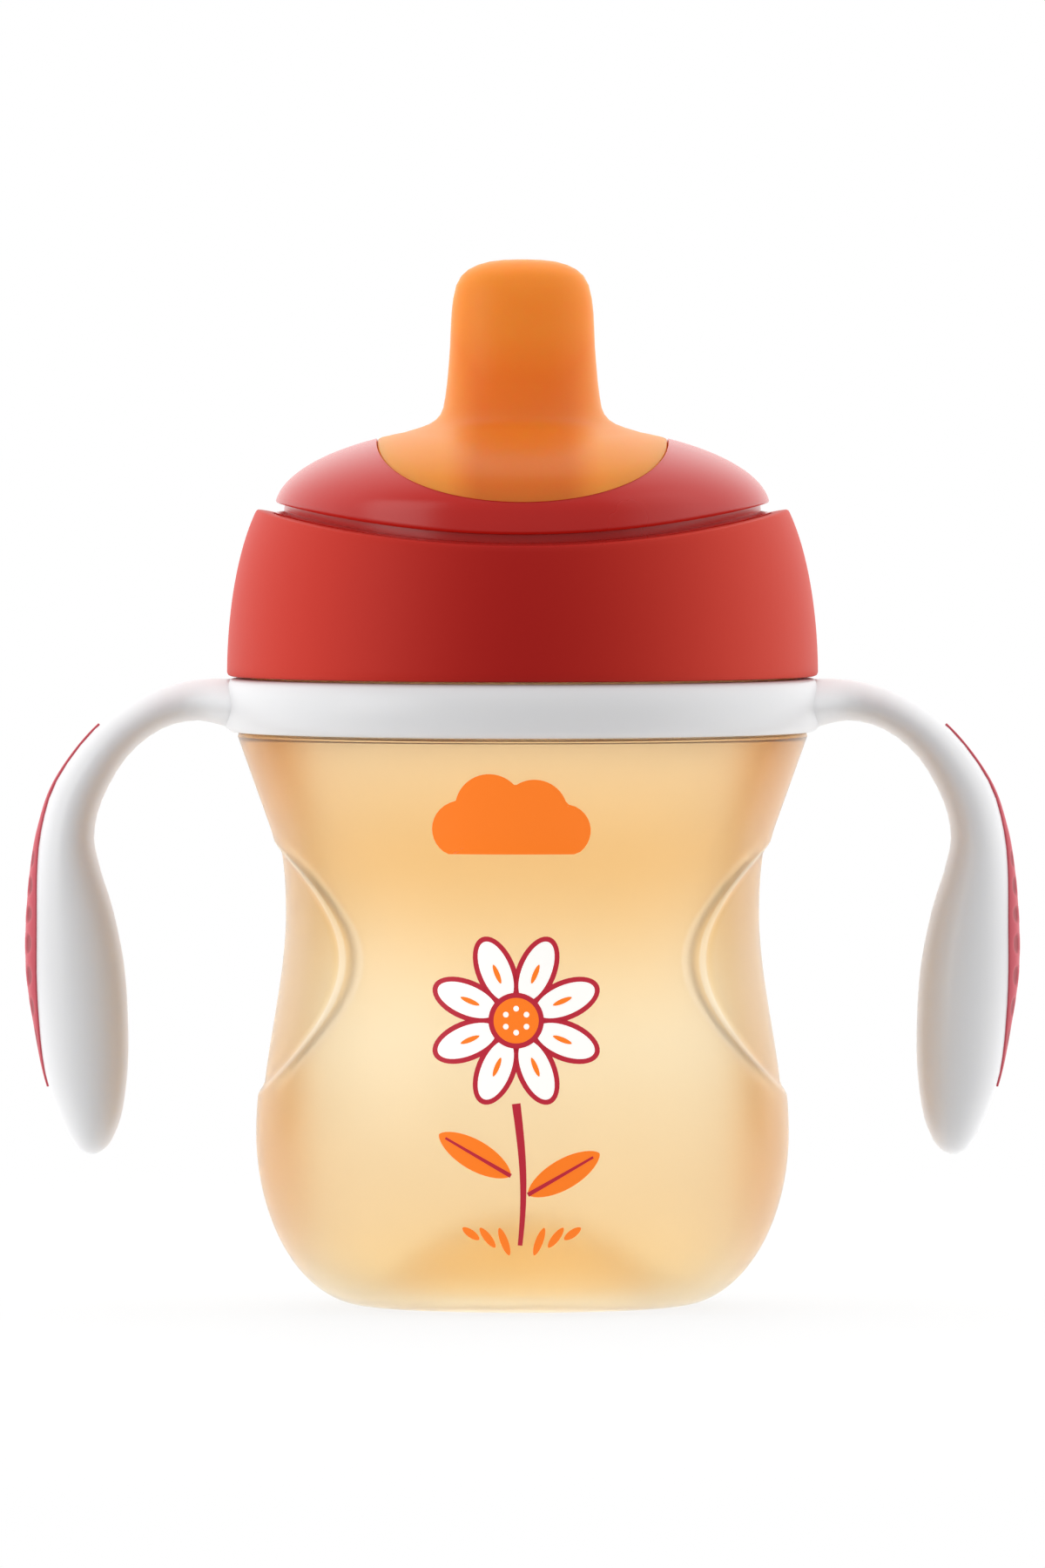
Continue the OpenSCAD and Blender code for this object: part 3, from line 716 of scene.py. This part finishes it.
def dimple(u, b):
    """Depth of the nearest dimple, 0 to 1, at u along the pad and b from edge to edge."""
    s = (pad_start + (pad_end - pad_start) * u) / dimple_pitch
    deepest = 0.0
    for lane, shift in ((-0.6, 0.0), (0.0, 0.5), (0.6, 0.0)):
        row = round(s - shift) + shift
        near = math.hypot((s - row) / 0.33, (b - lane) / 0.25)
        if near < 1 and 0.34 < u < 0.93:
            deepest = max(deepest, (1 - near ** 2) ** 0.6)
    return deepest


def pad_point(u, b, lift):
    """A point of the pad above the arm's skin, at u along it and b from edge to edge."""
    return arm_point(pad_start + (pad_end - pad_start) * u,
        -math.radians(edge_angle + (pad_angle - edge_angle) * leaf(u)) * b, lift)


def grip_pad():
    """A bmesh of one pad: a flat grid laid over the arm, and its edge folded down."""
    laid = bmesh.new()
    bmesh.ops.create_grid(laid, x_segments=pad_rows, y_segments=pad_across, size=1)
    dimple_shade_layer = laid.verts.layers.float.new("dimple")
    where = {v: ((v.co.x + 1) / 2, v.co.y) for v in laid.verts}
    for v, (u, b) in where.items():
        thick = pad_edge_t + (pad_t - pad_edge_t) * leaf(u)
        v[dimple_shade_layer] = min(1.0, 1.6 * dimple(u, b))
        v.co = pad_point(u, b, 0.2 + (thick - 0.16) * (1 - b ** 4) - dimple_depth * dimple(u, b) * leaf(u))
    rim = [e for e in laid.edges if e.is_boundary]
    skirt = bmesh.ops.extrude_edge_only(laid, edges=rim)["geom"]
    low = [v for v in skirt if isinstance(v, bmesh.types.BMVert)]
    for v in low:
        top = next(e.other_vert(v) for e in v.link_edges if e.other_vert(v) in where)
        v.co = pad_point(*where[top], pad_foot)
    bmesh.ops.recalc_face_normals(laid, faces=laid.faces)
    return laid


for side, turn in (("right", 0), ("left", math.pi)):
    pad = grip_pad()
    bmesh.ops.rotate(pad, verts=pad.verts, cent=(0, 0, 0), matrix=Matrix.Rotation(turn, 3, "Z"))
    piece("grip_pad_" + side, pad, grip_red, "handles", ["grip_pad_" + side], crease=60)

# ---------------------------------------------------------------- Lid collar
# The screw collar is moulded in matte red plastic. Its shoulder curves in, and its top edge
# is cut to an arc, low at the front and back and high over the handles.
collar_red = plastic("collar_red", (0.50, 0.012, 0.012), 0.5, scale=1500.0, bump=0.12, mottle=0.05,
    Specular_IOR_Level=0.11)
# The collar's colour is ramped across it: lighter towards both sides, painted light from the side boxes, and
# darker in the middle, painted shade on its front and back.
ramped(collar_red, -0.038, 0.038, [(0.0, (0.61, 0.047, 0.028)), (0.22, (0.59, 0.031, 0.018)),
    (0.5, (0.30, 0.0008, 0.003)), (0.78, (0.59, 0.034, 0.019)), (1.0, (0.64, 0.062, 0.036))], axis="X")

collar_z = sides("lid_collar")[0][2]
collar_r = sides("lid_collar")[1][0]
collar_h = 21.2
collar_top = collar_z + collar_h
collar_bore = collar_r - 3.1
dome_r = neck_r - 1.4
arc_half, collar_dip = collar_r - 4.2, 4.1
arc_r = (arc_half ** 2 + collar_dip ** 2) / (2 * collar_dip)


def arc_height(x):
    """Height of the collar's top edge at x."""
    return collar_top - collar_dip + arc_r - math.sqrt(arc_r ** 2 - x ** 2)


def collar_outside(z):
    """Radius of the collar's outer face at a height."""
    return collar_r - 9 + 9 * math.sqrt(1 - ((z - collar_z) / 26) ** 2)


keep_z = collar_z + 8
lip_z = collar_top - 4.95
outer_rows = 24
dome_gap, skin_deep = 0.05, 1.2
collar_outline = [[dome_r + 0.25, collar_top], [dome_r + dome_gap, collar_top - 0.4],
    [dome_r + dome_gap, lip_z], [collar_bore, lip_z], [collar_bore, collar_z + 0.5],
    [collar_bore + 0.5, collar_z], [collar_r - 0.5, collar_z], [collar_r - 0.15, collar_z + 0.15]]
for i in range(outer_rows + 1):
    z = collar_z + 0.5 + (collar_h - 1.0) * i / outer_rows
    collar_outline.append([collar_outside(z), z])
edge = collar_outside(collar_top)
collar_outline += [[edge + 0.05, collar_top - 0.2], [edge - 0.2, collar_top - 0.04],
    [edge - 0.5, collar_top]]
collar = spun(collar_outline, cup_columns)
for v in collar.verts:
    radius = math.hypot(v.co.x, v.co.y)
    if v.co.z > keep_z and radius > collar_bore + 0.3 or v.co.z > lip_z + 0.1:
        drop = arc_height(v.co.x / radius * min(radius, edge + 1.5)) - collar_top
        share = min(1.0, (v.co.z - keep_z) / (collar_top - keep_z))
        old = collar_outside(v.co.z)
        z = v.co.z + drop * share
        on_wall = max(0.0, min(1.0, 1 - (old - radius) / skin_deep))
        wider = (collar_outside(z) - old) * on_wall
        v.co.x *= (radius + wider) / radius
        v.co.y *= (radius + wider) / radius
        v.co.z = z
join(collar, thread(collar_bore, collar_bore - ridge_h, shoulder_z + 7.125, start=130, turn=360))
piece("collar", collar, collar_red, "lid", ["lid_collar"])

# ---------------------------------------------------------------- Lid dome
# The dome is a polished red shell that snaps into the collar. The spout's soft foot comes
# up through an opening that runs across it from front to back, and a fine groove follows
# its lower edge.
dome_red = plastic("dome_red", (0.54, 0.010, 0.005), 0.27, scale=400.0, spread=0.05, bump=0.015, mottle=0.03,
    Specular_IOR_Level=0.45)

flange_z = sides("lid_dome")[0][2]
flange_r = sides("lid_dome")[1][0]
dome_rise, dome_t = 11.1, 1.8
spring_z = flange_z + 6.9
crown_z = spring_z + dome_rise
opening_half_w = 18.5
opening_z = crown_z - 2.2
opening_h = opening_z - spring_z - 1.3
columns = 240


def dome_skin(radius, inset=0.0):
    """Height of the dome's skin at a radius from the axis."""
    share = min(1.0, radius / (dome_r - inset))
    return spring_z + (dome_rise - inset) * math.sqrt(1 - share ** 2)


def in_opening(x, z, gap=0.0):
    """Above 1 outside the spout's opening seen from the front, below 1 inside it."""
    if z > opening_z:
        return abs(x) / (opening_half_w - gap)
    return math.hypot(x / (opening_half_w - gap), (z - opening_z) / (opening_h - gap))


def edge_radius(turn, gap=0.0):
    """Where the opening's edge crosses the dome's skin, going in from the rim."""
    low, high = 10.0, dome_r
    for _ in range(40):
        half_way = (low + high) / 2
        if in_opening(half_way * math.cos(turn), dome_skin(half_way), gap) < 1:
            low = half_way
        else:
            high = half_way
    return low


# The flange is drawn here in its place. The rows after it only keep apart: each finds its
# place on the dome further down, because the groove and the opening's edge aren't round.
skin_rows, under_rows = 16, 10
groove_low, groove_high, groove_depth = 0.3, 1.4, 1.2
edge_out, edge_down = (0.12, 0.02, 0.0, 0.0), (0.03, 0.15, 0.6, 1.7)
dome_outline = [[dome_r - dome_t, flange_z], [flange_r, flange_z], [flange_r, flange_z + 1.8],
    [dome_r, flange_z + 1.8]]
flange_rows = len(dome_outline)
wall_rows = ["below", "groove_in", "groove_low", "groove_high", "groove_out", "lip"]
dome_outline += [[dome_r, flange_z + 2 + 0.5 * i] for i in range(len(wall_rows))]
first_skin = len(dome_outline)
dome_outline += [[dome_r - 0.6 * (i + 1), spring_z + 0.3 * (i + 1)] for i in range(skin_rows)]
first_edge = len(dome_outline)
dome_outline += [[20 - 0.1 * i, crown_z - 2] for i in range(len(edge_out))]
first_under = len(dome_outline)
dome_outline += [[20.5 + 0.7 * i, crown_z - 4 - 0.3 * i] for i in range(under_rows)]


def turned_rows(outline):
    """A bmesh turned from a closed outline, and the layer that keeps each point's place on it."""
    turned = bmesh.new()
    rows = turned.verts.layers.int.new("row")
    loop = [turned.verts.new((r, 0, z)) for r, z in outline]
    for i, v in enumerate(loop):
        v[rows] = i
    edges = [turned.edges.new((loop[i], loop[(i + 1) % len(loop)])) for i in range(len(loop))]
    bmesh.ops.spin(turned, geom=loop + edges, cent=(0, 0, 0), axis=(0, 0, 1), dvec=(0, 0, 0),
        angle=math.tau, steps=columns, use_merge=True)
    return turned, rows


inner_r, seat_drop = dome_r - dome_t, 1.9
dome, row_layer = turned_rows(dome_outline)
for v in dome.verts:
    turn = math.atan2(v.co.y, v.co.x)
    row = v[row_layer]
    reach = edge_radius(turn)
    arc = arc_height(dome_r * math.cos(turn))
    if row < flange_rows:
        continue
    if row < first_skin:
        kind = wall_rows[row - flange_rows]
        radius, z = {
            "below": (dome_r, arc - 1.2),
            "groove_in": (dome_r, arc + groove_low - 0.15),
            "groove_low": (dome_r - groove_depth, arc + groove_low),
            "groove_high": (dome_r - groove_depth, arc + groove_high - 0.1),
            "groove_out": (dome_r - 0.15, arc + groove_high),
            "lip": (dome_r, arc + groove_high + 0.25)}[kind]
        if z > spring_z:
            radius *= math.sqrt(1 - ((z - spring_z) / dome_rise) ** 2)
    elif row < first_edge:
        lip = arc + groove_high + 0.25
        rise = (lip - spring_z) / dome_rise
        start = math.asin(rise) if rise > 0 else rise
        stop = math.asin((dome_skin(reach) - spring_z) / dome_rise) - 0.008
        angle = start + (stop - start) * (row - first_skin + 1) / skin_rows
        radius = dome_r * math.cos(max(0.0, angle))
        z = spring_z + dome_rise * (math.sin(angle) if angle > 0 else angle)
    elif row < first_under:
        radius = reach + edge_out[row - first_edge]
        z = dome_skin(reach) - edge_down[row - first_edge]
    else:
        from_angle = math.acos(min(0.999, (reach + 0.1) / inner_r)) if reach < inner_r else 0.03
        angle = from_angle * (1 - (row - first_under) / (under_rows - 1))
        radius = inner_r * math.cos(angle)
        z = spring_z + (dome_rise - dome_t) * math.sin(angle)
        if reach + 0.1 >= inner_r:
            z = min(z, dome_skin(reach) - seat_drop)
    v.co = radius * math.cos(turn), radius * math.sin(turn), z
bmesh.ops.recalc_face_normals(dome, faces=dome.faces)
piece("dome", dome, dome_red, "lid", ["lid_dome"], crease=40)

# ---------------------------------------------------------------- Spout
# The spout is one soft silicone moulding. Its foot lies flush in the dome's opening, with an
# air hole at the back, and sweeps up into an oval tube whose tip has three drinking holes.
spout_orange = plastic("spout_orange", (0.95, 0.22, 0.03), 0.42, scale=700.0, bump=0.05, mottle=0.05,
    Subsurface_Weight=0.7, Subsurface_Radius=(0.012, 0.003, 0.0006), Subsurface_Scale=1.0,
    Specular_IOR_Level=0.22, Emission_Strength=0.12)
spout_tree = spout_orange.node_tree
spout_axes = object_axes(spout_tree)
# The tube is painted darker over the core inside it, a painted shade that is darkest on the
# foot's middle below the tube, and lighter at its thin edges and tip, painted light.
off_centre = computed(spout_tree, "ABSOLUTE", spout_axes["X"])
core_half_w, tube_edge = 0.0050, 0.0105
core_end, tip_start = 0.1175, 0.1255
tube_start, tube_full = 0.108, 0.122
lit_thin_edge = eased(spout_tree, off_centre, core_half_w, tube_edge)
lit_tip = eased(spout_tree, spout_axes["Z"], core_end, tip_start)
in_tube = eased(spout_tree, spout_axes["Z"], tube_start, tube_full)
lit_edges_and_tip = computed(spout_tree, "MAXIMUM", lit_thin_edge, lit_tip)
core_shade = mixed(spout_tree, in_tube, (0.68, 0.145, 0.008), (0.86, 0.17, 0.008))
blended(spout_orange, core_shade, (0.96, 0.26, 0.025), lit_edges_and_tip)
# A faint painted glow all over the tube, for the light that enters its thin wall and comes out again.
feed(spout_tree, spout_tree.nodes["Principled BSDF"], {
    "Emission Color": mixed(spout_tree, in_tube, (0.1, 0.02, 0.0), (1.0, 0.2, 0.012))})

spout_top = sides("spout")[1][2]
tube_half_w, tube_half_d = 9.2, 6.6
# Rows up the tube: what is added to its half width and its half depth, and the height above
# the dome's crown; then the same for the tip, from its top.
tube_rows = [(3.9, 6.9, -0.75), (2.7, 5.8, -0.3), (1.85, 4.7, 0.25), (1.25, 4.0, 0.95), (0.9, 3.3, 1.8),
    (0.65, 2.4, 3.2), (0.4, 1.45, 5.2), (0.2, 0.7, 7.5), (0.05, 0.25, 9.5), (-0.05, -0.05, 12)]
tip_rows = [(-0.15, -0.15, -6.8), (-0.35, -0.3, -5.0), (-0.75, -0.65, -3.3), (-1.4, -1.2, -2.1),
    (-2.3, -1.9, -1.3), (-3.5, -2.8, -0.7), (-5.0, -3.8, -0.28), (-6.8, -5.0, -0.06), (-8.6, -6.2, 0.0)]
foot_rows = 12
foot_in, foot_down = (0.0, 0.0, 0.05, 0.2), (1.85, 0.7, 0.18, 0.02)
tube = [(w, d, crown_z + z) for w, d, z in tube_rows] + [(w, d, spout_top + z) for w, d, z in tip_rows]
# As on the dome, most rows only keep apart here; the first three and the two on the axis stay.
spout_outline = [[28, spring_z - seat_drop], [29.7, spring_z - seat_drop], [29.7, spring_z],
    [25, spring_z + 4], [22, spring_z + 6]]
lap_rows, lid_rows = 3, len(spout_outline)
spout_outline += [[20 - 0.05 * i, crown_z - 3 + 0.1 * i] for i in range(len(foot_in))]
first_foot = len(spout_outline)
spout_outline += [[19 - 0.4 * i, crown_z - 1.5] for i in range(foot_rows)]
first_tube = len(spout_outline)
spout_outline += [[13 - 0.1 * i, z] for i, (_, _, z) in enumerate(tube)]
first_cap = len(spout_outline)
spout_outline += [[0, spout_top]]
inner_start = len(spout_outline)
inner_tube = [(-5.5, -4.4, spout_top - 2.2), (-2.6, -2.3, spout_top - 2.6), (-1.9, -1.9, spout_top - 4.5),
    (-1.25, -1.25, crown_z + 9.5), (-0.85, -0.95, crown_z + 1.5), (-0.55, -0.75, crown_z - 4.0)]
spout_outline += [[0, spout_top - 2.1]] + [[5 + 0.1 * i, z] for i, (_, _, z) in enumerate(inner_tube)]
inner_end = len(spout_outline)
spout_outline += [[16, crown_z - 4.6], [22, crown_z - 6.5], [26, crown_z - 9]]
spout, row_layer = turned_rows(spout_outline)

under_gap, seam_gap = 0.05, 0.06
cap_r = inner_r - under_gap
sweep_w, sweep_d = tube_half_w + 5.6, tube_half_d + 9.5
above_skin = (0.02, 0.12, 0.3)
for v in spout.verts:
    row = v[row_layer]
    if row in (first_cap, inner_start):
        continue
    turn = math.atan2(v.co.y, v.co.x)
    reach = edge_radius(turn, seam_gap)
    x_dir, y_dir = math.cos(turn), math.sin(turn)
    if row < lap_rows:
        radius, z = spout_outline[row]
    elif row < lid_rows:
        radius = cap_r + (min(cap_r, reach + 0.4) - cap_r) * (row - 2) / 3
        z = min(dome_skin(min(radius, cap_r), dome_t + under_gap), dome_skin(reach) - seat_drop)
    elif row < first_foot:
        radius = reach - foot_in[row - lid_rows]
        z = dome_skin(reach) - foot_down[row - lid_rows]
    elif row < first_tube:
        start = Vector(((reach - 0.35) * x_dir, (reach - 0.35) * y_dir))
        at = start.lerp(Vector((sweep_w * x_dir, sweep_d * y_dir)), (row - first_foot + 1) / (foot_rows + 1))
        v.co = at.x, at.y, dome_skin(at.length)
        continue
    elif row < inner_end:
        inner = row >= first_cap
        w, d, z = inner_tube[row - inner_start - 1] if inner else tube[row - first_tube]
        x, y = (tube_half_w + w) * x_dir, (tube_half_d + d) * y_dir
        if not inner and row - first_tube < len(above_skin):
            z = max(z, dome_skin(math.hypot(x, y)) + above_skin[row - first_tube])
        v.co = x, y, z
        continue
    else:
        radius = spout_outline[row][0]
        z = dome_skin(radius, dome_t + 1.55)
    v.co = radius * x_dir, radius * y_dir, z
bmesh.ops.remove_doubles(spout, verts=spout.verts, dist=0.002)
bmesh.ops.recalc_face_normals(spout, faces=spout.faces)


def drilled(shaped, holes):
    """The bmesh with round holes drilled down through it: [x, y, radius, low, high] each."""
    pieces = []
    for made in (shaped, bmesh.new()):
        if made is not shaped:
            for x, y, radius, low, high in holes:
                bmesh.ops.create_cone(made, cap_ends=True, segments=24, radius1=radius, radius2=radius,
                    depth=high - low, matrix=Matrix.Translation((x, y, (low + high) / 2)))
        spare = bpy.data.meshes.new("spare")
        made.to_mesh(spare)
        made.free()
        pieces.append(bpy.data.objects.new("spare", spare))
        bpy.context.scene.collection.objects.link(pieces[-1])
    cut = pieces[0].modifiers.new("holes", "BOOLEAN")
    cut.operation = "DIFFERENCE"
    cut.object = pieces[1]
    result = bmesh.new()
    result.from_object(pieces[0], bpy.context.evaluated_depsgraph_get())
    for spare in [thing.data for thing in pieces]:
        bpy.data.meshes.remove(spare)
    return result


drink_r, air_r, air_y = 0.45, 0.6, 17
spout = drilled(spout, [(x, 0, drink_r, spout_top - 4, spout_top + 1) for x in (-1.8, 0, 1.8)]
    + [(0, air_y, air_r, spring_z + 2, crown_z + 2)])
piece("spout_tube", spout, spout_orange, "lid", ["spout"], crease=60)

# ---------------------------------------------------------------- Core, valve and seal
# The stiff core holds the soft tube open from inside and carries the valve's sockets on a
# round plate. The valve and the seal between lid and rim are clear and white silicone.
core_natural = plastic("core_natural", (0.95, 0.45, 0.12), 0.4, Subsurface_Weight=0.4,
    Subsurface_Radius=(0.006, 0.003, 0.001), Subsurface_Scale=1.0)
valve_clear = plastic("valve_clear", (0.82, 0.8, 0.74), 0.3, Subsurface_Weight=0.4,
    Subsurface_Radius=(0.004, 0.004, 0.003), Subsurface_Scale=1.0)
seal_white = plastic("seal_white", (0.78, 0.78, 0.76), 0.42, Subsurface_Weight=0.2,
    Subsurface_Radius=(0.003, 0.003, 0.003), Subsurface_Scale=1.0)
for node, material in (("spout_core", core_natural), ("valve", valve_clear), ("lid_seal", seal_white)):
    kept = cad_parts[node]
    kept.data.materials.clear()
    kept.data.materials.append(material)
